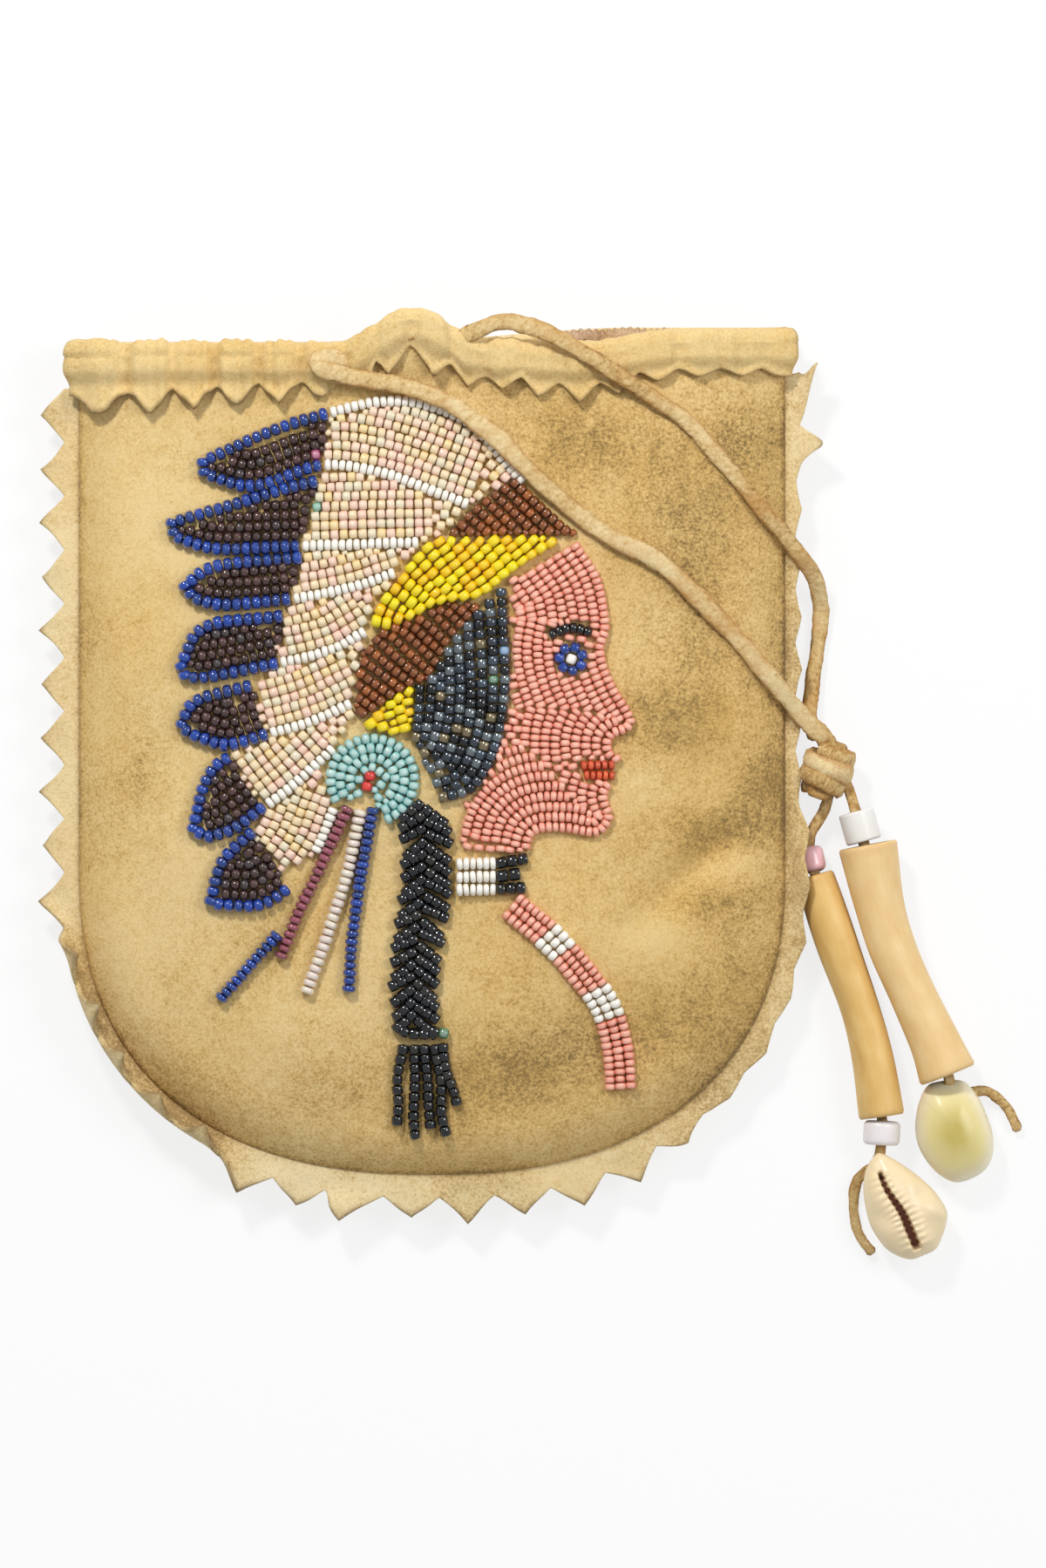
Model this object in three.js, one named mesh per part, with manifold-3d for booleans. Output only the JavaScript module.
// Beaded hide pouch with a thong drawstring, bone tube beads and cowries.
// Millimetres. The pouch lies on its back: +Z is up out of its front, +Y runs towards its mouth.
import * as THREE from 'three';
import { mergeVertices } from 'three/addons/utils/BufferGeometryUtils.js';
import Module from 'manifold-3d';

const wasm = await Module();
wasm.setup();

// Pouch outline
const POUCH_HALF_WIDTH = 69;
const POUCH_MIDDLE_X = -0.2;
const ROUND_START_Y = -21;
const ROUND_DEPTH = 59.2;
const ROUND_POWER = 2.35;
const MOUTH_Y = 79.9;
const MOUTH_RISE_RIGHT = 2.8;
const MOUTH_RISE_FROM = -10;
const MOUTH_RISE_TO = 40;
const BACK_MOUTH_EXTRA = 1.5;
const HUMP_X = -4.3;
const HUMP_REACH = 8.5;
const HUMP_LENGTH = 6.8;
const HUMP_RISE = 2.6;
const HUMP_FOOT = 9;
const HUMP_FULL = 2;

// Section through the pouch
const HIDE = 1.2;
const CLEARANCE = 0.3;
const SEAM_HEIGHT = 6;
const RIM_ROUND = 7;
const RIM_RISE = 3.6;
const CROWN_REACH = 45;
const CROWN_RISE = 5;
const MOUTH_FLAT = 0.3;
const MOUTH_FLAT_LENGTH = 34;
const BACK_ROUND = 9;
const BACK_SETTLE = 9;

// Hem turned over at the mouth, which is the drawstring's tunnel
const TUNNEL_HEIGHT = 2.3;
const HEM_STITCH = 5;
// Hem teeth: place as a share of the half width, and length below the mouth
const HEM_TIPS = [
  [-0.925, 12.1], [-0.79, 12], [-0.671, 11.1], [-0.545, 10.7], [-0.429, 9.9], [-0.306, 8.9], [-0.186, 8.7],
  [-0.119, 9.2], [-0.003, 9.6], [0.1, 8.6], [0.206, 7.6], [0.3, 8.7], [0.42, 9.6], [0.529, 9.1],
  [0.639, 7.9], [0.754, 7.6], [0.877, 7.3], [0.974, 7],
];
const HEM_NOTCH_LEFT = 4.6;
const HEM_NOTCH_RIGHT = 2.9;
const HEM_LEAST = 5.4;

// Pinked strip sewn into the seam
const WELT_TOP_DROP = 6.5;
const WELT_INSET = 2.5;
const TOOTH_PITCH = 10.4;
const TOOTH_TIP = 7.6;
const TOOTH_NOTCH = 2.9;
const BOTTOM_FLANGE = 1.7;
const CURL_RADIUS = 2.7;
const CURL_EXTRA = 1.2;
const EVEN_FLANGE_HIGH = 3.3;
const EVEN_FLANGE_LOW = 5;
const EVEN_SCALLOP = 0.5;
const TUCK_GAP = 1;
const TUCK_REACH = 8.5;

// Thongs
const THONG_WIDTH = 2.6;
const THONG_THICKNESS = 1.3;
const DRAWSTRING_STEPS = 66;
const DROP_STEPS = 24;
const DROP_WIDTH = 2;
const DROP_THICKNESS = 1.2;

// Beads, tubes and cowries
const BEAD_HEIGHT = 1.7;
const BEAD_VALLEY = 1;
const LANE = 2.05;
const LANE_GAP = 0.3;
// How far the outermost beads reach over the drawn edge of a feather
const EDGE_REACH = 0.875;
const BORE_CLEARANCE = 0.65;
const TUBE_WALL = 1.5;
const TUBE_SIDES = 14;
const REST_GAP = 0.1;
const SHELL_SLIT = 1.3;
const SHELL_SLIT_DEPTH = 4;

// Colours
const HIDE_FRONT = material(0xcdb17c, 0.92);
const HIDE_BACK = material(0xd6ba86, 0.92);
const HIDE_PALE = material(0xe0c89c, 0.9);
const THONG = material(0xb08a52, 0.95);
const BONE = material(0xe4c98f, 0.45);
const SHELL_CREAM = material(0xecd9b1, 0.25);
const SHELL_GREEN = material(0xdcd69a, 0.25);
const WHITE_BEAD = material(0xf0ece0, 0.35);
const PINK_BEAD = material(0xe1a9ac, 0.3);
const NAVY_GLASS = material(0x1d3a8c, 0.15);
const BROWN_GLASS = material(0x3a2524, 0.2);
const CREAM_GLASS = material(0xe7d3c0, 0.25);
const AMBER_GLASS = material(0x6e3517, 0.2);
const YELLOW_BEAD = material(0xf2cc1c, 0.3);
const HAIR_BEAD = material(0x2f3a42, 0.25, 0.5);
const TURQUOISE_GLASS = material(0x7cc7bf, 0.2);
const RED_BEAD = material(0xe0262b, 0.25);
const BURGUNDY_GLASS = material(0x8c3248, 0.2);
const CLEAR_GLASS = material(0xe6dccb, 0.15);
const BLACK_BEAD = material(0x1e2529, 0.3, 0.3);
const ROSE_GLASS = material(0xcf8580, 0.3);

// From the knot over the front to the hump, through the hem there, and back over the front to the knot
const DRAWSTRING_ROUTE = [
  [75, 4.7, 3.5], [73.8, 9.2, 2.8], [74, 13.2, 1.8], [74.7, 18.8, 1.3], [75.4, 23.5, 1.1], [76, 29.3, 1.3],
  [75.6, 33, 2.8], [74.4, 36.8, 5.4], [72.3, 39.9, 8.2], [70.2, 42.7, 9.5], [68, 45.5, 10.8], [64.9, 48.8, 12.2],
  [58.4, 56.6, 13.6], [50, 66.2, 14.6], [42.5, 71.6, 15.6], [38.5, 74.2, 16.5], [34, 77, 17.6], [30.9, 79, 18.4],
  [26, 82, 18.6], [22.2, 83.9, 18.6], [18, 85.3, 18.5], [14.2, 86, 18.2], [10.5, 85.2, 17.8], [7.2, 83.7, 16.9],
  [3.5, 82.3, 16.3], [0, 83.2, 17.2], [-4.3, 83.9, 17.8], [-9, 82.4, 17.1], [-13, 80, 16.1], [-16.6, 78.8, 16.3],
  [-20.4, 79.2, 18], [-22.6, 78.3, 18.8], [-21.4, 76.8, 18.9], [-18.2, 75.9, 18.2], [-15.4, 75.2, 17.4],
  [-11, 74.5, 17.4], [-6.4, 73.8, 17.4], [-1.5, 72.2, 17.6], [3.5, 70, 17.8], [8.5, 66.6, 17.7], [13.2, 62.8, 17.9],
  [16.9, 58.9, 17.9], [21, 54.9, 17.2], [24.9, 51.5, 16.7], [30, 47.4, 16.5], [35.3, 43.8, 16.3], [43.9, 39.5, 15.6],
  [51.1, 32.9, 14.8], [58.4, 25.4, 13.7], [64.9, 17.9, 12.2], [68.3, 13.9, 10.6], [70.6, 11.2, 8.9],
  [73.4, 8, 7.7], [75.4, 6.1, 6.9], [76.6, 4.9, 6.3],
];

// Everything that hangs beside the pouch is measured from its right seam
const RIGHT_SEAM_X = POUCH_MIDDLE_X + POUCH_HALF_WIDTH;

function fromSeam(stations) {
  return stations.map(([x, ...rest]) => [RIGHT_SEAM_X + x, ...rest]);
}

const KNOT_AXIS = [0.33, -0.944, 0];
const KNOT_LENGTH = 10.5;
const KNOT_RADIUS = 4.6;
const KNOT_SIDES = 12;
const KNOT_CENTRE = [RIGHT_SEAM_X + EVEN_FLANGE_HIGH + CLEARANCE + KNOT_RADIUS, -1.2, KNOT_RADIUS + REST_GAP];

const RIGHT_DROP_ROUTE = fromSeam([
  [12.6, -5, 5.4], [13.2, -7, 5.75], [13.9, -9.4, 5.85], [14.7, -12.4, 5.85], [15.5, -15.4, 5.85], [17.2, -22, 5.85],
  [18.7, -29, 5.85], [21.1, -36, 5.85], [24.8, -44.8, 5.85], [29, -54, 5.85], [31.8, -60.6, 5.85],
  [32.4, -63, 5.7], [33.1, -64.6, 4.7], [34.8, -65, 3.4], [37.2, -64.2, 2.4], [39.8, -64.1, 1.7],
  [42.2, -65.8, 1.2], [44.1, -68, 1], [45.9, -72, 1],
]);
const LEFT_DROP_ROUTE = fromSeam([
  [8.4, -7.2, 3.1], [7.5, -9.6, 2.8], [6.2, -11.8, 2.7], [5.1, -14, 2.7], [4.8, -16, 2.7], [5.4, -18.7, 2.9],
  [6, -21.7, 3.8], [8.1, -28.5, 4.1], [10.8, -36.5, 4.2], [14.6, -47.7, 4.3], [17.2, -57.5, 4.4], [19, -68.8, 4.5],
  [19, -72.2, 4.4], [18.8, -75, 4.4], [18.4, -77.4, 4.2], [17.4, -78.8, 3.4], [15.8, -79.9, 2.2],
  [14.2, -82, 1.3], [13.6, -85.6, 1], [13.9, -89.6, 1], [15.1, -93, 1], [17.4, -96, 1],
]);

// Bone tubes: rings of x, y, z and radius from the knot's end down
const RIGHT_TUBE = fromSeam([
  [16.1, -15.8, 5.85, 5.75], [18.3, -27, 5.85, 4.9], [20.9, -35.8, 5.85, 4.7], [24.8, -44.8, 5.85, 4.5],
  [29.2, -54.3, 5.85, 4.9], [31.8, -60.8, 5.85, 5.8],
]);
const LEFT_TUBE = fromSeam([
  [6, -21.7, 4.1, 3.7], [8.1, -28.5, 4.15, 4.1], [10.8, -36.5, 4.25, 4.2], [14.8, -47.7, 4.3, 3.9],
  [17.3, -57.5, 4.45, 4.1], [19.1, -69, 4.65, 4.6],
]);
// The end of the narrow tube that is tucked under the strip
const TUBE_UNDER_WELT = { y: LEFT_TUBE[0][1], z: LEFT_TUBE[0][2], r: LEFT_TUBE[0][3] };

// Drop beads. The shoulder is the rounded share of half the length
const WHITE_TUBE_BEAD = {
  radius: 3.5, length: 6.1, shoulder: 0.12,
  centre: [14.7, -12.2, 5.85], axis: [-0.27, 0.963, 0],
};
const PINK_TUBE_BEAD = {
  radius: 2.5, length: 4.9, shoulder: 0.5,
  centre: [5.3, -18.7, 2.85], axis: [-0.2, 0.97, -0.13],
};
const SMALL_WHITE_BEAD = {
  radius: 3.6, length: 4.7, shoulder: 0.35,
  centre: [19, -72.2, 4.4], axis: [0.05, 0.998, 0],
};
const LEFT_COWRIE = {
  length: 21.5, width: 13.8, thickness: 9.4,
  centre: [23.2, -86.9, 5.5], turn: 0.4, faceUp: true,
};
const RIGHT_COWRIE = {
  length: 20, width: 15.6, thickness: 9.6,
  centre: [33.4, -72.6, 4.1], turn: 0.05, faceUp: false,
};

// Beadwork, in plan, drawn on a front of this half width and length and stretched with the front it is sewn to
const DRAWN_HALF_WIDTH = 69;
const DRAWN_LENGTH = 160.1;
const DRAWN_MOUTH_Y = 79.9;

// Feather edges run from the tip to the headband
const FEATHERS = [
  {
    upper: [[-44.8, 58.9], [-33, 64.2], [-19, 68.7], [-6.2, 70.7], [6.4, 66.8], [15.6, 57.2]],
    lower: [[-44.5, 56.4], [-35.1, 54.1], [-21.5, 58.1], [-9.6, 56.6], [4, 51.6]],
    splitUpper: -20, splitLower: -21.5, topEdge: true,
  },
  {
    upper: [[-50.9, 47], [-41.9, 49.6], [-21.5, 55.2], [-9.6, 54.2], [2.6, 49.6]],
    lower: [[-50.4, 44.1], [-41.9, 41.9], [-25.8, 42.4], [-13, 42.8], [-3, 43.1]],
    splitUpper: -22, splitLower: -25.8,
  },
  {
    upper: [[-48.4, 34.8], [-41.9, 38.5], [-24.6, 40.2], [-12, 40.7], [-4.4, 41.3]],
    lower: [[-46.7, 32.2], [-40.2, 31], [-26.9, 32.2], [-16.4, 34.2], [-9, 36.6]],
    splitUpper: -25, splitLower: -27,
  },
  {
    upper: [[-49.2, 19.4], [-44.2, 26.7], [-28.3, 28.9], [-16.4, 31.3], [-10.6, 33.4]],
    lower: [[-48.2, 16.9], [-43.6, 17], [-30, 19.6], [-19.8, 22.2], [-14.6, 25]],
    splitUpper: -28.5, splitLower: -30,
  },
  {
    upper: [[-49.2, 7.1], [-46.2, 12.2], [-36, 15], [-28.3, 16.4], [-19.8, 18.9], [-16.4, 20.3]],
    lower: [[-46.2, 5.4], [-40.2, 3.7], [-32, 5.9], [-23.2, 8.4], [-16.2, 11.7]],
    splitUpper: -35, splitLower: -32,
  },
  {
    upper: [[-46.8, -13], [-44.5, -4], [-40.5, 0.8], [-30.9, 3.9], [-23, 6.2], [-16.4, 9.4]],
    lower: [[-43.6, -14.2], [-38.5, -12.5], [-32.6, -8.2], [-26.6, -3.7], [-21.6, 1]],
    splitUpper: -39, splitLower: -32.6,
  },
  {
    upper: [[-43.3, -26.9], [-41.1, -19.3], [-36, -14], [-30, -8.9], [-25.6, -5.6], [-22.4, -2.2]],
    lower: [[-41.1, -27.6], [-33.4, -27.4], [-27.5, -23.5], [-22.6, -16.7], [-19.9, -10.2]],
    splitUpper: -34.6, splitLower: -27.8,
  },
];
// Bands and patches: the ends of their lanes along two edges, and the number of lanes
const BANDS = [
  ['upper_brown_band', [[2.6, 44.6], [9, 51], [16.4, 55.8]], [[3.4, 44.5], [14, 44.8], [28, 44.8]], 7, AMBER_GLASS],
  [
    'yellow_band',
    [[-12.4, 26.8], [-10.3, 31.9], [-6.6, 36.3], [-3.6, 40.6], [0.6, 43.9], [11, 44.2], [23, 44.2]],
    [[-8.8, 27.5], [-3.4, 29.4], [0, 31.6], [4.2, 32.5], [9.6, 33.4], [15.9, 38.4], [24.2, 43.6]],
    10, YELLOW_BEAD,
  ],
  [
    'lower_brown_band',
    [[7.6, 31.8], [1.2, 31], [-3.4, 28.6], [-8.8, 26.8], [-12.4, 23.5], [-14.8, 17.5], [-14.8, 9.6]],
    [[8.6, 31], [5.5, 27.3], [2.7, 23.9], [-0.9, 17.4], [-4.6, 15.7], [-9.4, 12.4], [-14, 9]],
    9, AMBER_GLASS,
  ],
  ['yellow_patch', [[-13.6, 7.9], [-9, 12], [-4.2, 15.2]], [[-12.4, 7.2], [-6, 5.6], [-3.9, 9]], 4, YELLOW_BEAD],
];
const HAIR_OUTER = [[14.3, 34.4], [14.8, 26], [14.9, 15], [13.2, 4.5], [8.2, -4.6], [1.6, -6.9]];
const HAIR_INNER = [[-3.2, 15], [-3.3, 12.6], [-3.3, 10.2], [-3.4, 7.8], [-3.4, 5.4]];
const HAIR_TOP = [[-3.2, 15], [-0.2, 16.6], [3.4, 22.8], [6.2, 26.4], [9.8, 30.2], [14.3, 34.4]];
const HAIR_LANES = 8;
const BRAID_LEFT = [[-2.6, -8.8], [-6.6, -13.6], [-8.4, -19], [-8.2, -45], [-7.4, -52.4], [-7.4, -62], [-7.6, -73]];
const BRAID_RIGHT = [[3.6, -8.8], [4.4, -13], [4.2, -22], [3.1, -45], [1.6, -52.4], [4.5, -62], [4.6, -73]];
const BRAID_LANES = 4;
const ROSETTE_CENTRE = [-11.7, -3.1];
const ROSETTE_HOLE = 2.9;
const ROSETTE_RADIUS = 8.9;
const ROSETTE_ANGLES = [213, -74];
// Ribbons of one lane
const RIBBON_WIDTH = 2.05;
const RIBBONS = [
  ['burgundy_strand', [[-16.4, -8.2], [-20.8, -18], [-25.6, -28], [-29.7, -38]], BURGUNDY_GLASS],
  ['clear_strand', [[-14, -8.8], [-16.6, -21], [-20.4, -33], [-24.6, -44.8]], CLEAR_GLASS],
  ['blue_strand', [[-11.5, -8.4], [-13.6, -20], [-15.4, -32], [-16.4, -44.5]], NAVY_GLASS],
  ['loose_blue_strand', [[-30, -32.9], [-35.8, -39.6], [-41.6, -46]], NAVY_GLASS],
];
const COLLAR_X = [4.9, 12.3, 18.6];
const COLLAR_Y = [-25.7, -18.1];
const ROSE_STRAND = [[16.4, -28.8], [22.4, -33.4], [28.6, -40.2], [33.6, -47.3], [36, -55], [36.6, -63.5]];

// The face is drawn on thirds: hairline to brow, brow to nose and nose to chin are equal
const HAIRLINE_Y = 44;
const FACE_THIRD = 19.5;
const FACE_X = 33.6;
const FACE_PROFILE = [
  [-5.8, 0], [-1.4, 0.33], [0.5, 0.68], [0.9, 0.92], [-0.2, 1.14], [2.2, 1.48], [5.8, 1.8], [4.8, 1.93],
  [1.7, 2], [1.3, 2.11], [2.8, 2.22], [1.6, 2.32], [2.4, 2.42], [0.4, 2.57], [1.6, 2.8], [-1.4, 2.98],
  [-7.8, 2.94], [-13.4, 2.96], [-14.8, 3.14],
].map(([forward, thirds]) => [FACE_X + forward, HAIRLINE_Y - thirds * FACE_THIRD]);
const FACE_BACK = [
  [15.3, 36.2], [15.4, 30], [15.4, 22], [15.3, 15], [14.4, 8.5],
  [12.3, 1.4], [9.4, -4.2], [6.4, -8], [5.6, -12], [5.5, -17.2],
];

const pouch = new THREE.Group();

function material(color, roughness, metalness = 0) {
  return new THREE.MeshStandardMaterial({ color, roughness, metalness });
}

function addPiece(name, geometry, finish) {
  const piece = new THREE.Mesh(geometry, finish);
  piece.name = name;
  pouch.add(piece);
  return piece;
}

function point(x, y, z = 0) {
  return new THREE.Vector3(x, y, z);
}

function smoothStep(value, from, to) {
  return THREE.MathUtils.smoothstep(value, from, to);
}

// Outline and heights of the pouch

function humpShare(x) {
  return Math.exp(-(((x - HUMP_X) / HUMP_REACH) ** 2));
}

function evenMouthY(x) {
  return MOUTH_Y + smoothStep(x, MOUTH_RISE_FROM, MOUTH_RISE_TO) * MOUTH_RISE_RIGHT;
}

function frontMouthY(x) {
  return evenMouthY(x) + HUMP_LENGTH * humpShare(x);
}

function backMouthY(x) {
  return evenMouthY(x) + BACK_MOUTH_EXTRA;
}

// 0 at the middle of the pouch, 1 on the seam
function edgeFraction(x, y) {
  const across = Math.abs(x - POUCH_MIDDLE_X) / POUCH_HALF_WIDTH;
  if (y >= ROUND_START_Y) {
    return across;
  }
  const down = (ROUND_START_Y - y) / ROUND_DEPTH;
  return (across ** ROUND_POWER + down ** ROUND_POWER) ** (1 / ROUND_POWER);
}

function seamDistance(x, y) {
  return Math.max(0, (1 - edgeFraction(x, y)) * POUCH_HALF_WIDTH);
}

function quarterRound(distance, radius) {
  const t = Math.min(distance / radius, 1);
  return Math.sqrt(1 - (1 - t) ** 2);
}

function frontHeight(x, y) {
  const d = seamDistance(x, y);
  const rim = SEAM_HEIGHT + HIDE / 2 + CLEARANCE;
  const crown = 1 - (1 - Math.min(d / CROWN_REACH, 1)) ** 2;
  const nearMouth = smoothStep(y, evenMouthY(x) - MOUTH_FLAT_LENGTH, evenMouthY(x));
  const hump = HUMP_RISE * humpShare(x) * smoothStep(y, MOUTH_Y - HUMP_FOOT, MOUTH_Y + HUMP_FULL);
  return rim + RIM_RISE * quarterRound(d, RIM_ROUND)
    + CROWN_RISE * crown * (1 - MOUTH_FLAT * nearMouth) + hump;
}

// The back rests on its turned hem near the mouth and on itself below
function backHeight(x, y) {
  const d = seamDistance(x, y);
  const rim = SEAM_HEIGHT - HIDE / 2 - CLEARANCE;
  const below = backMouthY(x) - y;
  const hemEnd = hemDepth(x);
  const lift = hemOffset(below, 0) * (1 - smoothStep(below, hemEnd, hemEnd + BACK_SETTLE));
  return lift + (rim - lift) * (1 - quarterRound(d, BACK_ROUND));
}

// Distance between the middles of the panel and its turned hem
function hemOffset(below, tunnel) {
  const tight = HIDE + CLEARANCE;
  return tight + tunnel * (TUNNEL_HEIGHT - CLEARANCE) * (1 - smoothStep(below, HEM_STITCH - 2, HEM_STITCH + 1.5));
}

function hemDepth(x) {
  const share = (x - POUCH_MIDDLE_X) / POUCH_HALF_WIDTH;
  const next = HEM_TIPS.findIndex((tip) => tip[0] >= share);
  if (next < 1) {
    return HEM_TIPS.at(next)[1];
  }
  const [low, high] = [HEM_TIPS[next - 1], HEM_TIPS[next]];
  return THREE.MathUtils.mapLinear(share, low[0], high[0], low[1], high[1]);
}

function surfaceNormal(height, x, y, side) {
  const pull = 4e-4;
  const h = 0.01;
  const px = x + (POUCH_MIDDLE_X - x) * pull;
  const py = y < ROUND_START_Y ? y + (ROUND_START_Y - y) * pull : y;
  const slopeX = (height(px + h, py) - height(px - h, py)) / (2 * h);
  const slopeY = (height(px, py + h) - height(px, py - h)) / (2 * h);
  return point(-slopeX, -slopeY, 1).normalize().multiplyScalar(side);
}

// Closed sheets from rows of stations, each with a point on both faces

function weldedGeometry(positions, faces) {
  const keys = new Map();
  const merged = [];
  const target = positions.map((p) => {
    const key = `${Math.round(p.x * 1e4)},${Math.round(p.y * 1e4)},${Math.round(p.z * 1e4)}`;
    if (!keys.has(key)) {
      keys.set(key, merged.length);
      merged.push(p);
    }
    return keys.get(key);
  });
  let triangles = faces.map((f) => f.map((i) => target[i]))
    .filter(([a, b, c]) => a !== b && b !== c && c !== a);
  let volume = 0;
  for (const [a, b, c] of triangles) {
    volume += merged[a].dot(merged[b].clone().cross(merged[c]));
  }
  if (volume < 0) {
    triangles = triangles.map(([a, b, c]) => [a, c, b]);
  }
  const geometry = new THREE.BufferGeometry();
  geometry.setFromPoints(merged);
  geometry.setIndex(triangles.flat());
  return geometry;
}

function sheetGeometry(rows) {
  const positions = [];
  const faces = [];
  const index = rows.map((row) => row.map((station) => {
    positions.push(station.top, station.bottom);
    return positions.length - 2;
  }));
  const addBoth = (a, b, c) => {
    faces.push([a, b, c], [a + 1, c + 1, b + 1]);
  };
  for (let k = 0; k + 1 < rows.length; k += 1) {
    let i = 0;
    let j = 0;
    while (i + 1 < rows[k].length || j + 1 < rows[k + 1].length) {
      const lowerDone = i + 1 >= rows[k].length;
      const upperDone = j + 1 >= rows[k + 1].length;
      if (upperDone || (!lowerDone && rows[k][i + 1].u <= rows[k + 1][j + 1].u)) {
        addBoth(index[k][i], index[k][i + 1], index[k + 1][j]);
        i += 1;
      } else {
        addBoth(index[k][i], index[k + 1][j + 1], index[k + 1][j]);
        j += 1;
      }
    }
  }
  const last = index.length - 1;
  const loop = [
    ...index[0],
    ...index.slice(1, last).map((row) => row[row.length - 1]),
    ...index[last].slice().reverse(),
    ...index.slice(1, last).map((row) => row[0]).reverse(),
  ];
  loop.forEach((p, i) => {
    const q = loop[(i + 1) % loop.length];
    faces.push([p + 1, q + 1, q], [p + 1, q, p]);
  });
  return weldedGeometry(positions, faces);
}

function toSolid(geometry) {
  const bare = geometry.clone();
  bare.deleteAttribute('normal');
  bare.deleteAttribute('uv');
  const merged = mergeVertices(bare, 1e-4);
  return new wasm.Manifold(new wasm.Mesh({
    numProp: 3,
    vertProperties: new Float32Array(merged.attributes.position.array),
    triVerts: new Uint32Array(merged.index.array),
  }));
}

function fromSolid(solid) {
  const { vertProperties, triVerts } = solid.getMesh();
  const geometry = new THREE.BufferGeometry();
  geometry.setAttribute('position', new THREE.BufferAttribute(new Float32Array(vertProperties), 3));
  geometry.setIndex(Array.from(triVerts));
  return geometry;
}

// Panels: a domed hide whose top is folded outwards into a pinked hem

// Rows of a panel above its round part, as shares of the way up to the mouth
const ROWS_UP = [0, 0.16, 0.33, 0.5, 0.66, 0.8, 0.89, 1];

function panelGeometry({ height, mouth, side, tunnel, columns, roundRows, foldSteps }) {
  const rowsUp = side > 0 ? ROWS_UP : ROWS_UP.filter((_, i) => i % 2 === 0 || i === ROWS_UP.length - 1);

  const station = (x, y, offset = 0) => {
    const normal = surfaceNormal(height, x, y, side);
    const middle = point(x, y, height(x, y)).addScaledVector(normal, offset - HIDE / 2);
    return { middle, normal, u: (x - POUCH_MIDDLE_X) / POUCH_HALF_WIDTH };
  };
  const faced = ({ middle, u }, outwards) => ({
    top: middle.clone().addScaledVector(outwards, HIDE / 2),
    bottom: middle.clone().addScaledVector(outwards, -HIDE / 2),
    u,
  });

  const rows = [];
  for (let k = 0; k < roundRows + rowsUp.length; k += 1) {
    const inRound = k <= roundRows;
    const down = inRound ? Math.cos((k / roundRows) * Math.PI / 2) : 0;
    const halfWidth = POUCH_HALF_WIDTH * (1 - down ** ROUND_POWER) ** (1 / ROUND_POWER);
    const row = [];
    for (let j = 0; j <= columns; j += 1) {
      const u = Math.sin((j / columns - 0.5) * Math.PI);
      const x = POUCH_MIDDLE_X + halfWidth * u;
      const y = inRound ? ROUND_START_Y - ROUND_DEPTH * down
        : THREE.MathUtils.lerp(ROUND_START_Y, mouth(x), rowsUp[k - roundRows]);
      const s = station(x, y);
      row.push({ ...faced(s, s.normal.clone().negate()), u });
    }
    rows.push(k === 0 ? [row[columns / 2]] : row);
  }

  const across = hemStations();
  for (let k = 1; k <= foldSteps; k += 1) {
    const angle = (k / foldSteps) * Math.PI;
    rows.push(across.map(({ x }) => {
      const s = station(x, mouth(x));
      const radius = hemOffset(0, tunnel) / 2;
      const outwards = s.normal.clone().multiplyScalar(-Math.cos(angle))
        .addScaledVector(point(0, 1), Math.sin(angle)).normalize();
      s.middle.addScaledVector(s.normal, radius).addScaledVector(outwards, radius);
      return faced(s, outwards);
    }));
  }
  for (const depthOf of [() => HEM_STITCH - 1.8, () => HEM_STITCH, ({ depth }) => depth]) {
    rows.push(across.map((column) => {
      const depth = depthOf(column);
      const s = station(column.x, mouth(column.x) - depth, hemOffset(depth, tunnel));
      return faced(s, s.normal);
    }));
  }
  return sheetGeometry(rows);
}

// Across the hem: its two ends, and every tooth's tip and notch
function hemStations() {
  const left = POUCH_MIDDLE_X - POUCH_HALF_WIDTH;
  const right = POUCH_MIDDLE_X + POUCH_HALF_WIDTH;
  const stations = [
    { x: left, depth: HEM_TIPS[0][1] - 4 },
    { x: left + 0.7, depth: HEM_TIPS[0][1] - 3.2 },
    { x: left + 2.6, depth: HEM_TIPS[0][1] - 1.6 },
  ];
  const tips = HEM_TIPS.map(([share, depth]) => ({ x: POUCH_MIDDLE_X + share * POUCH_HALF_WIDTH, depth }));
  tips.forEach((tip, i) => {
    stations.push(tip);
    const next = tips[i + 1];
    if (next) {
      const x = (tip.x + next.x) / 2;
      const rise = THREE.MathUtils.lerp(HEM_NOTCH_LEFT, HEM_NOTCH_RIGHT, smoothStep(x, -30, 30));
      stations.push({ x, depth: Math.max((tip.depth + next.depth) / 2 - rise, HEM_LEAST) });
    }
  });
  const lastDepth = HEM_TIPS[HEM_TIPS.length - 1][1];
  stations.push({ x: right - 0.6, depth: lastDepth - 0.2 }, { x: right, depth: lastDepth - 0.4 });
  return stations;
}

// Welt: a strip between the panels with pinked teeth outside the seam

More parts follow.
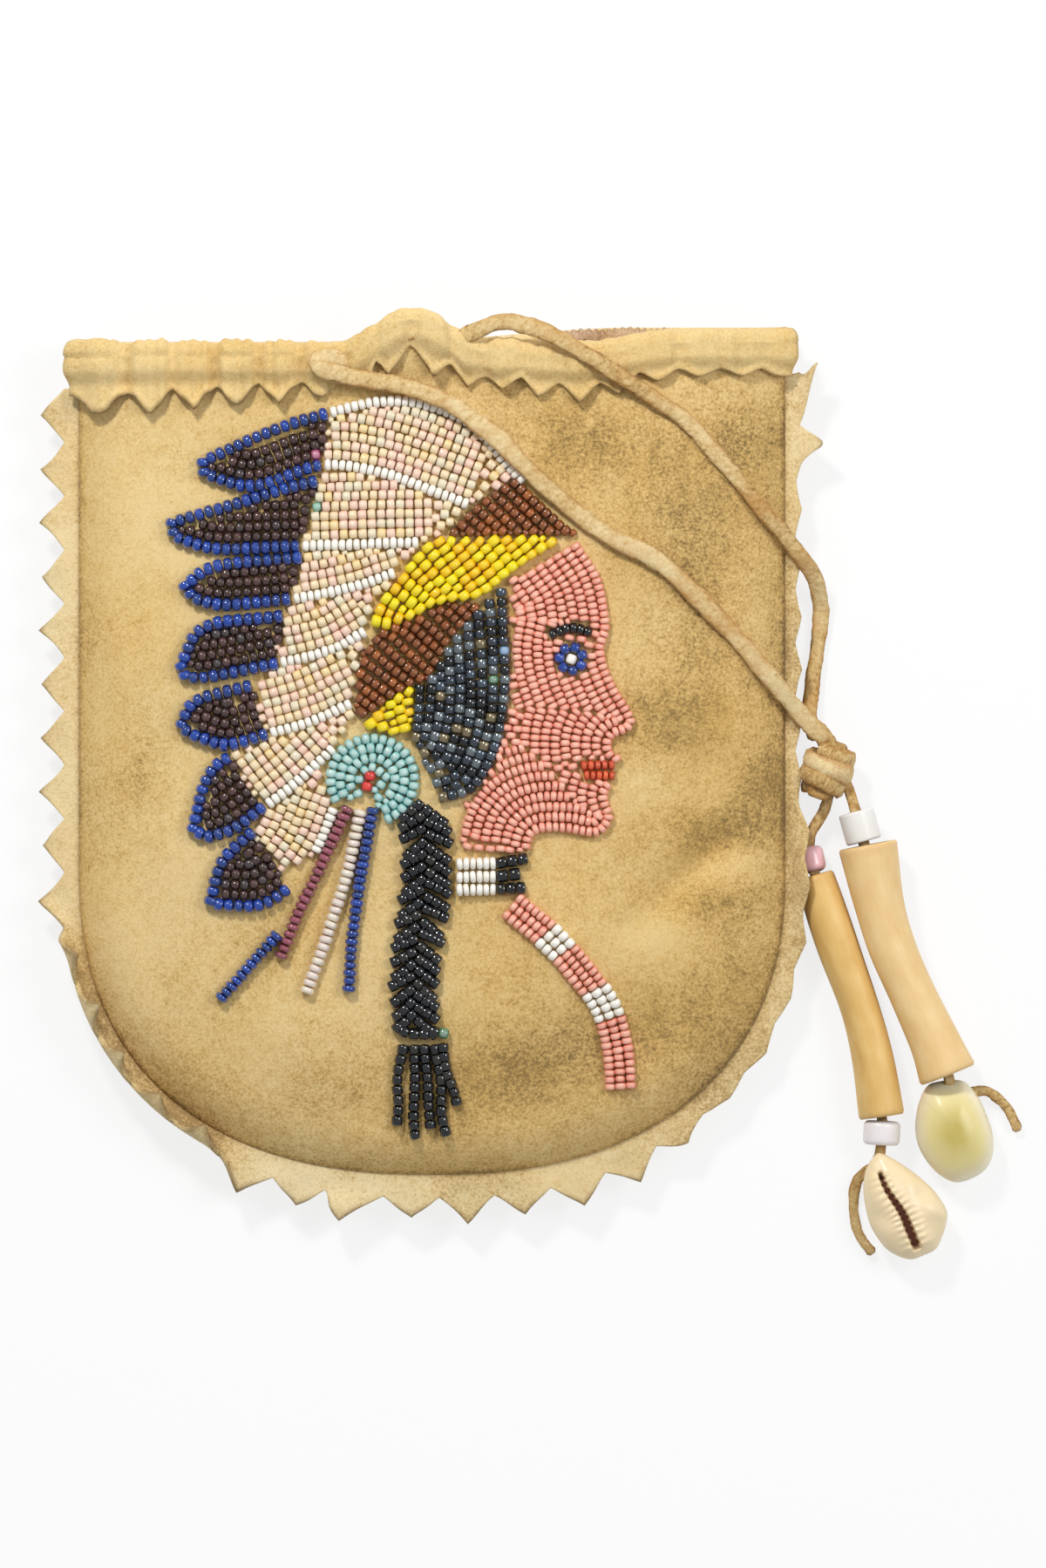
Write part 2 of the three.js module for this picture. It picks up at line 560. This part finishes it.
function seamLine() {
  const points = [];
  const sideSteps = 20;
  const roundSteps = 120;
  const side = (sign, share) => {
    const x = POUCH_MIDDLE_X + sign * POUCH_HALF_WIDTH;
    return point(x, THREE.MathUtils.lerp(ROUND_START_Y, evenMouthY(x) - WELT_TOP_DROP, share));
  };
  for (let i = sideSteps; i > 0; i -= 1) {
    points.push(side(-1, i / sideSteps));
  }
  for (let i = 0; i <= roundSteps; i += 1) {
    const angle = (i / roundSteps) * Math.PI;
    const across = Math.sign(Math.cos(angle)) * Math.abs(Math.cos(angle)) ** (2 / ROUND_POWER);
    const down = Math.abs(Math.sin(angle)) ** (2 / ROUND_POWER);
    points.push(point(POUCH_MIDDLE_X - POUCH_HALF_WIDTH * across, ROUND_START_Y - ROUND_DEPTH * down));
  }
  for (let i = 1; i <= sideSteps; i += 1) {
    points.push(side(1, i / sideSteps));
  }
  const line = new THREE.CatmullRomCurve3(points, false, 'chordal');
  line.arcLengthDivisions = 1200;
  return line;
}

// Strip width at a tooth's tip and notch, and how far the strip is curled forward
function weltShape(p) {
  const low = ROUND_START_Y - p.y;
  const bottom = smoothStep(low, 45, 56);
  const tip = TOOTH_TIP + BOTTOM_FLANGE * bottom;
  const notch = TOOTH_NOTCH + BOTTOM_FLANGE * bottom;
  if (p.x < POUCH_MIDDLE_X) {
    const curl = smoothStep(low, 4, 18) * (1 - smoothStep(low, 50, 55));
    return { tip: tip + CURL_EXTRA * curl, notch: notch + CURL_EXTRA * curl, curl };
  }
  const even = (1 - smoothStep(low, 34, 48)) * (1 - smoothStep(p.y, 58, 62));
  const width = THREE.MathUtils.lerp(EVEN_FLANGE_HIGH, EVEN_FLANGE_LOW, smoothStep(low, -19, -5));
  return {
    tip: THREE.MathUtils.lerp(tip, width, even),
    notch: THREE.MathUtils.lerp(notch, width - EVEN_SCALLOP, even),
    curl: 0,
  };
}

// The strip rises over the narrow tube that is tucked under it
function weltLift(p, width) {
  const near = p.x > 0 ? Math.exp(-(((p.y - TUBE_UNDER_WELT.y) / TUCK_REACH) ** 2)) : 0;
  const rise = TUBE_UNDER_WELT.z + TUBE_UNDER_WELT.r + HIDE / 2 + TUCK_GAP - SEAM_HEIGHT;
  return rise * near * smoothStep(width, 0.5, 4.5);
}

function weltGeometry() {
  const line = seamLine();
  const teeth = Math.round(line.getLength() / TOOTH_PITCH);
  const rows = [[], [], [], []];
  const flatEnd = 0.4;
  for (let k = 0; k <= 2 * teeth; k += 1) {
    const u = k / (2 * teeth);
    const p = line.getPointAt(u);
    const tangent = line.getTangentAt(u);
    const outwards = point(tangent.y, -tangent.x);
    const { tip, notch, curl } = weltShape(p);
    const reach = k % 2 === 1 ? tip : notch;
    [-WELT_INSET, flatEnd, notch * 0.6, reach].forEach((width, i) => {
      const arc = Math.max(width - flatEnd, 0);
      const bend = Math.max((curl * arc) / CURL_RADIUS, 1e-6);
      const middle = p.clone();
      middle.z = SEAM_HEIGHT + weltLift(p, width) + (arc / bend) * (1 - Math.cos(bend));
      middle.addScaledVector(outwards, Math.min(width, flatEnd) + (arc / bend) * Math.sin(bend));
      const facing = outwards.clone().multiplyScalar(-Math.sin(bend)).setZ(Math.cos(bend));
      rows[i].push({
        top: middle.clone().addScaledVector(facing, HIDE / 2),
        bottom: middle.clone().addScaledVector(facing, -HIDE / 2),
        u,
      });
    });
  }
  return sheetGeometry(rows);
}

// Thongs

function thongSection(width, thickness) {
  const w = width / 2;
  const t = thickness / 2;
  const corner = thickness * 0.3;
  const outline = [
    [-t, corner - w], [corner - t, -w], [t - corner, -w], [t, corner - w],
    [t, w - corner], [t - corner, w], [corner - t, w], [-t, w - corner],
  ];
  return new THREE.Shape(outline.map(([x, y]) => new THREE.Vector2(x, y)));
}

function thongGeometry(route, width, thickness, steps) {
  const curve = new THREE.CatmullRomCurve3(route.map(([x, y, z]) => point(x, y, z)), false, 'centripetal');
  return new THREE.ExtrudeGeometry(thongSection(width, thickness), { steps, extrudePath: curve });
}

// Room for a thong, cut out of what it passes through
function thongCutter(route, width, thickness, steps) {
  return toSolid(thongGeometry(route, width + 2 * CLEARANCE + 0.1, thickness + 2 * CLEARANCE + 0.1, steps));
}

// Places a lathed piece, whose axis is Y, with that axis along a direction
function placeAlong(piece, centre, direction) {
  piece.position.copy(centre);
  piece.quaternion.setFromUnitVectors(point(0, 1), direction.clone().normalize());
}

// Three turns of thong drawn tight
function knotGeometry() {
  const profile = [];
  const steps = 12;
  for (let i = 0; i <= steps; i += 1) {
    const t = i / steps;
    const swell = Math.sin(Math.PI * t) ** 0.6;
    const groove = 1 - 0.13 * Math.abs(Math.cos(3 * Math.PI * t)) ** 3;
    const ends = i === 0 || i === steps;
    const radius = ends ? 0 : KNOT_RADIUS * swell * groove;
    profile.push(new THREE.Vector2(radius, -KNOT_LENGTH / 2 * Math.cos(Math.PI * t)));
  }
  return new THREE.LatheGeometry(profile, KNOT_SIDES);
}

// A bead turned about Y: bored, with rounded shoulders of the given share of its length
function boredBead(radius, length, bore, shoulder) {
  const half = length / 2;
  const round = shoulder * half;
  const profile = [[bore, -half], [radius - round * 0.6, -half], [radius, round - half], [radius, half - round],
    [radius - round * 0.6, half], [bore, half], [bore, -half]];
  return new THREE.LatheGeometry(profile.map(([x, y]) => new THREE.Vector2(x, y)), 14);
}

// A bone tube: rings of [x, y, z, radius] along its bent middle line, bored right through
function tubeGeometry(stations) {
  const middle = new THREE.CatmullRomCurve3(stations.map(([x, y, z]) => point(x, y, z)));
  const radii = stations.map((s) => s[3]);
  const rings = 6;
  const positions = [];
  const faces = [];
  for (let i = 0; i <= rings; i += 1) {
    const s = i / rings;
    const centre = middle.getPoint(s);
    const tangent = middle.getTangent(s);
    const sideways = new THREE.Vector3().crossVectors(tangent, point(0, 0, 1)).normalize();
    const upwards = new THREE.Vector3().crossVectors(sideways, tangent);
    const place = s * (radii.length - 1);
    const low = Math.min(Math.floor(place), radii.length - 2);
    const radius = THREE.MathUtils.lerp(radii[low], radii[low + 1], place - low);
    for (const r of [radius, radius - TUBE_WALL]) {
      for (let j = 0; j < TUBE_SIDES; j += 1) {
        const angle = (j / TUBE_SIDES) * 2 * Math.PI;
        positions.push(centre.clone().addScaledVector(sideways, r * Math.cos(angle))
          .addScaledVector(upwards, r * Math.sin(angle)));
      }
    }
  }
  const at = (ring, inner, j) => (ring * 2 + inner) * TUBE_SIDES + (j % TUBE_SIDES);
  const quad = (a, b, c, d) => faces.push([a, b, c], [a, c, d]);
  for (let j = 0; j < TUBE_SIDES; j += 1) {
    for (let i = 0; i < rings; i += 1) {
      quad(at(i, 0, j), at(i, 0, j + 1), at(i + 1, 0, j + 1), at(i + 1, 0, j));
      quad(at(i, 1, j + 1), at(i, 1, j), at(i + 1, 1, j), at(i + 1, 1, j + 1));
    }
    quad(at(0, 1, j), at(0, 1, j + 1), at(0, 0, j + 1), at(0, 0, j));
    quad(at(rings, 0, j), at(rings, 0, j + 1), at(rings, 1, j + 1), at(rings, 1, j));
  }
  return weldedGeometry(positions, faces);
}

// A cowrie: an egg-shaped body with a toothed slit along its flatter face (+Z), narrow end at +Y
function cowrieGeometry({ length, width, thickness }) {
  const body = new THREE.SphereGeometry(1, 16, 11);
  const position = body.attributes.position;
  for (let i = 0; i < position.count; i += 1) {
    const [x, y, z] = [position.getX(i), position.getY(i), position.getZ(i)];
    const r = Math.hypot(x, z);
    const t = (1 - y) / 2;
    const girth = r < 1e-6 ? 0 : Math.sin(Math.PI * t ** 0.86) ** 0.66 / r;
    const flat = z > 0 ? 0.72 : 1;
    position.setXYZ(i, x * girth * width / 2, y * length / 2, z * girth * flat * thickness / 1.72);
  }
  const top = (0.72 * thickness) / 1.72;
  let shell = toSolid(body);
  const slitLength = length * 0.8;
  const slit = new THREE.Shape();
  const bow = length * 0.05;
  slit.moveTo(0, slitLength / 2);
  slit.quadraticCurveTo(bow + SHELL_SLIT, 0, 0, -slitLength / 2);
  slit.quadraticCurveTo(bow - SHELL_SLIT, 0, 0, slitLength / 2);
  const cut = new THREE.ExtrudeGeometry(slit, { depth: SHELL_SLIT_DEPTH + 1, bevelEnabled: false, curveSegments: 3 });
  cut.translate(0, 0, top - SHELL_SLIT_DEPTH);
  shell = shell.subtract(toSolid(cut));
  const teeth = 6;
  for (let i = 0; i < teeth; i += 1) {
    const y = ((i + 0.5) / teeth - 0.5) * slitLength * 0.9;
    const middle = (bow / 2) * (1 - (2 * y / slitLength) ** 2);
    const groove = new THREE.CylinderGeometry(0.4, 0.4, SHELL_SLIT + 2.6, 4);
    groove.rotateZ(Math.PI / 2);
    groove.translate(middle, y, top - 0.1);
    shell = shell.subtract(toSolid(groove));
  }
  return shell;
}

function addDropBead(name, { radius, length, shoulder, centre, axis }, finish) {
  const bead = addPiece(name, boredBead(radius, length, DROP_WIDTH / 2 + BORE_CLEARANCE, shoulder), finish);
  placeAlong(bead, point(...fromSeam([centre])[0]), point(...axis));
}

function addCowrie(name, size, finish, route) {
  const place = new THREE.Matrix4().makeRotationZ(size.turn);
  if (!size.faceUp) {
    place.multiply(new THREE.Matrix4().makeRotationY(Math.PI));
  }
  place.setPosition(point(...fromSeam([size.centre])[0]));
  const geometry = fromSolid(cowrieGeometry(size)).applyMatrix4(place);
  const hole = thongCutter(route, DROP_WIDTH, DROP_THICKNESS, DROP_STEPS);
  addPiece(name, fromSolid(toSolid(geometry).subtract(hole)), finish);
}

// Beadwork: rows of seed beads sewn side by side as lanes on the front

const frontHide = panelGeometry({
  height: frontHeight, mouth: frontMouthY, side: 1, tunnel: 1, columns: 18, roundRows: 9, foldSteps: 3,
});
const frontTarget = new THREE.Mesh(frontHide, new THREE.MeshBasicMaterial({ side: THREE.DoubleSide }));
const ray = new THREE.Raycaster();

// A point of the beadwork's plan, on the front
function onFront(planX, planY, lift) {
  const x = POUCH_MIDDLE_X + (planX - POUCH_MIDDLE_X) * (POUCH_HALF_WIDTH / DRAWN_HALF_WIDTH);
  const y = MOUTH_Y + (planY - DRAWN_MOUTH_Y) * ((MOUTH_Y - ROUND_START_Y + ROUND_DEPTH) / DRAWN_LENGTH);
  ray.set(point(x, y, 60), point(0, 0, -1));
  const [hit] = ray.intersectObject(frontTarget);
  const height = hit ? hit.point.z : frontHeight(x, y);
  return point(x, y, height + CLEARANCE + lift);
}

// at(s, t) gives [x, y]: s runs along the lanes and t across them
function laneField(at, lanes, steps) {
  const rows = [];
  for (let i = 0; i <= steps; i += 1) {
    const row = [];
    for (let j = 0; j <= 2 * lanes; j += 1) {
      const u = j / (2 * lanes);
      const [x, y] = at(i / steps, u);
      row.push({
        top: onFront(x, y, j % 2 === 0 ? BEAD_VALLEY : BEAD_HEIGHT),
        bottom: onFront(x, y, 0),
        u,
      });
    }
    rows.push(row);
  }
  return sheetGeometry(rows);
}

function planCurve(points) {
  return new THREE.SplineCurve(points.map(([x, y]) => new THREE.Vector2(x, y)));
}

// A field between two curves, held back from each by a margin. The lower one has the field on its left
function between(lower, upper, lowerMargin, upperMargin, from = [0, 0], to = [1, 1]) {
  return (s, t) => {
    const [a, b] = [[lower, lowerMargin, 0], [upper, -upperMargin, 1]].map(([curve, margin, side]) => {
      const share = THREE.MathUtils.lerp(from[side], to[side], s);
      const tangent = curve.getTangent(share);
      return curve.getPoint(share).add(new THREE.Vector2(-tangent.y, tangent.x).multiplyScalar(margin));
    });
    return [THREE.MathUtils.lerp(a.x, b.x, t), THREE.MathUtils.lerp(a.y, b.y, t)];
  };
}

// One or more lanes that follow a curve, moved to its left by a shift
function alongCurve(curve, width, from = 0, to = 1, shift = 0) {
  return (s, t) => {
    const share = THREE.MathUtils.lerp(from, to, s);
    const p = curve.getPoint(share);
    const tangent = curve.getTangent(share);
    const offset = (t - 0.5) * width + shift;
    return [p.x - tangent.y * offset, p.y + tangent.x * offset];
  };
}

// The share of a curve at which it last passes an x
function shareAtX(curve, x) {
  const steps = 400;
  for (let i = steps; i > 0; i -= 1) {
    if (curve.getPoint((i - 1) / steps).x <= x) {
      return i / steps;
    }
  }
  return 0;
}

function tipOutlineGeometry(lower, upper, lowerEnd, upperEnd) {
  const steps = 4;
  const path = [];
  for (let i = 0; i <= steps; i += 1) {
    path.push([upper, upperEnd * (1 - i / steps), -1]);
  }
  for (let i = 0; i <= steps; i += 1) {
    path.push([lower, lowerEnd * (i / steps), 1]);
  }
  const rows = path.map(([curve, share, sign]) => {
    const p = curve.getPoint(share);
    const tangent = curve.getTangent(share).multiplyScalar(sign);
    return [0, 0.5, 1].map((u) => {
      const offset = u * (LANE - LANE_GAP) - EDGE_REACH;
      const x = p.x - tangent.y * offset;
      const y = p.y + tangent.x * offset;
      return {
        top: onFront(x, y, u === 0.5 ? BEAD_HEIGHT : BEAD_VALLEY),
        bottom: onFront(x, y, 0),
        u,
      };
    });
  });
  return sheetGeometry(rows);
}

function addFeather(number, { upper, lower, splitUpper, splitLower, topEdge }) {
  const name = `feather_${number}`;
  const high = planCurve(upper);
  const low = planCurve(lower);
  const highSplit = shareAtX(high, splitUpper);
  const lowSplit = shareAtX(low, splitLower);
  const edgeLane = LANE - LANE_GAP;
  const centre = edgeLane / 2 - EDGE_REACH;
  const margin = edgeLane - EDGE_REACH + 1.5 * LANE_GAP;
  const gapShare = 0.01;
  const outline = tipOutlineGeometry(low, high, lowSplit - gapShare, highSplit - gapShare);
  addPiece(`${name}_tip_outline`, outline, NAVY_GLASS);
  let start = 0.02;
  while (high.getPoint(start * highSplit).distanceTo(low.getPoint(start * lowSplit)) < LANE + 1.6) {
    start += 0.02;
  }
  const lanesAt = (share) => high.getPoint(share[1]).distanceTo(low.getPoint(share[0]));
  const darkLanes = Math.max(2, Math.round((lanesAt([lowSplit, highSplit]) - LANE) / LANE) - 1);
  const dark = between(low, high, margin, margin, [start * lowSplit, start * highSplit],
    [lowSplit - gapShare, highSplit - gapShare]);
  addPiece(`${name}_dark_fill`, laneField(dark, darkLanes, 3), BROWN_GLASS);
  const vaneLanes = Math.max(3, Math.round(lanesAt([(1 + lowSplit) / 2, (1 + highSplit) / 2]) / LANE) - 1);
  const upperMargin = topEdge ? margin : -EDGE_REACH;
  const vane = between(low, high, margin, upperMargin, [lowSplit + gapShare, highSplit + gapShare]);
  addPiece(`${name}_vane`, laneField(vane, vaneLanes, 4), CREAM_GLASS);
  const quill = alongCurve(low, edgeLane, lowSplit + gapShare, 1, centre);
  addPiece(`${name}_quill`, laneField(quill, 1, 4), WHITE_BEAD);
  if (topEdge) {
    const top = alongCurve(high, edgeLane, highSplit + gapShare, 1, -centre);
    addPiece(`${name}_top_edge`, laneField(top, 1, 5), WHITE_BEAD);
  }
}

// Build

addPiece('back_panel', panelGeometry({
  height: backHeight, mouth: backMouthY, side: -1, tunnel: 0, columns: 14, roundRows: 7, foldSteps: 2,
}), HIDE_BACK);

const slits = thongCutter(DRAWSTRING_ROUTE, THONG_WIDTH, THONG_THICKNESS, DRAWSTRING_STEPS);
addPiece('front_panel', fromSolid(toSolid(frontHide).subtract(slits)), HIDE_FRONT);
addPiece('pinked_welt', weltGeometry(), HIDE_PALE);

addPiece('drawstring', thongGeometry(DRAWSTRING_ROUTE, THONG_WIDTH, THONG_THICKNESS, DRAWSTRING_STEPS), THONG);
const knot = addPiece('drawstring_knot', knotGeometry(), THONG);
placeAlong(knot, point(...KNOT_CENTRE), point(...KNOT_AXIS).negate());

addPiece('right_drop_thong', thongGeometry(RIGHT_DROP_ROUTE, DROP_WIDTH, DROP_THICKNESS, DROP_STEPS), THONG);
addPiece('left_drop_thong', thongGeometry(LEFT_DROP_ROUTE, DROP_WIDTH, DROP_THICKNESS, DROP_STEPS), THONG);
addPiece('right_bone_tube', tubeGeometry(RIGHT_TUBE), BONE);
addPiece('left_bone_tube', tubeGeometry(LEFT_TUBE), BONE);

addDropBead('white_tube_bead', WHITE_TUBE_BEAD, WHITE_BEAD);
addDropBead('pink_bead', PINK_TUBE_BEAD, PINK_BEAD);
addDropBead('small_white_bead', SMALL_WHITE_BEAD, WHITE_BEAD);
addCowrie('left_cowrie', LEFT_COWRIE, SHELL_CREAM, LEFT_DROP_ROUTE);
addCowrie('right_cowrie', RIGHT_COWRIE, SHELL_GREEN, RIGHT_DROP_ROUTE);

FEATHERS.forEach((feather, i) => addFeather(i + 1, feather));

// A field whose lanes run from one edge to another, both listed from the same end
function addCrossField(name, starts, ends, lanes, steps, finish) {
  const first = planCurve(starts);
  const second = planCurve(ends);
  addPiece(name, laneField((s, t) => {
    const a = first.getPoint(t);
    const b = second.getPoint(t);
    return [THREE.MathUtils.lerp(a.x, b.x, s), THREE.MathUtils.lerp(a.y, b.y, s)];
  }, lanes, steps), finish);
}

for (const [name, starts, ends, lanes, finish] of BANDS) {
  addCrossField(name, starts, ends, lanes, 2, finish);
}

const hairOuter = planCurve(HAIR_OUTER);
const hairInner = planCurve(HAIR_INNER);
const hairTop = planCurve(HAIR_TOP);
addPiece('hair', laneField((s, t) => {
  const a = hairInner.getPoint(s);
  const b = hairOuter.getPoint(s);
  const top = hairTop.getPoint(t);
  const flatX = THREE.MathUtils.lerp(hairInner.getPoint(0).x, hairOuter.getPoint(0).x, t);
  const flatY = THREE.MathUtils.lerp(hairInner.getPoint(0).y, hairOuter.getPoint(0).y, t);
  const blend = (1 - s) ** 2;
  return [
    THREE.MathUtils.lerp(a.x, b.x, t) + (top.x - flatX) * blend,
    THREE.MathUtils.lerp(a.y, b.y, t) + (top.y - flatY) * blend,
  ];
}, HAIR_LANES, 5), HAIR_BEAD);
addPiece('braid', laneField(between(planCurve(BRAID_LEFT), planCurve(BRAID_RIGHT), 0, 0), BRAID_LANES, 9), HAIR_BEAD);

const [roundX, roundY] = ROSETTE_CENTRE;
addPiece('rosette', laneField((s, t) => {
  const angle = THREE.MathUtils.degToRad(THREE.MathUtils.lerp(ROSETTE_ANGLES[0], ROSETTE_ANGLES[1], s));
  const radius = THREE.MathUtils.lerp(ROSETTE_HOLE, ROSETTE_RADIUS, t);
  return [roundX + radius * Math.cos(angle), roundY + radius * Math.sin(angle)];
}, 3, 13), TURQUOISE_GLASS);
const centreBeads = planCurve([[roundX - 0.4, roundY + 1.6], [roundX - 1.2, roundY - 1.6]]);
addPiece('red_centre_beads', laneField(alongCurve(centreBeads, LANE), 1, 2), RED_BEAD);

for (const [name, points, finish] of RIBBONS) {
  addPiece(name, laneField(alongCurve(planCurve(points), RIBBON_WIDTH), 1, 6), finish);
}

const [collarLeft, collarSplit, collarRight] = COLLAR_X;
addCrossField('white_collar_beads', [[collarLeft, COLLAR_Y[0]], [collarLeft, COLLAR_Y[1]]],
  [[collarSplit, COLLAR_Y[0]], [collarSplit, COLLAR_Y[1]]], 3, 1, WHITE_BEAD);
addCrossField('black_collar_beads', [[collarSplit + CLEARANCE, COLLAR_Y[0]], [collarSplit + CLEARANCE, COLLAR_Y[1]]],
  [[collarRight, COLLAR_Y[0]], [collarRight, COLLAR_Y[1]]], 3, 1, BLACK_BEAD);
addPiece('rose_strand', laneField(alongCurve(planCurve(ROSE_STRAND), 3 * LANE), 3, 8), ROSE_GLASS);
addPiece('face', laneField(between(planCurve(FACE_BACK), planCurve(FACE_PROFILE), 0, 0), 6, 16), ROSE_GLASS);

export default pouch;
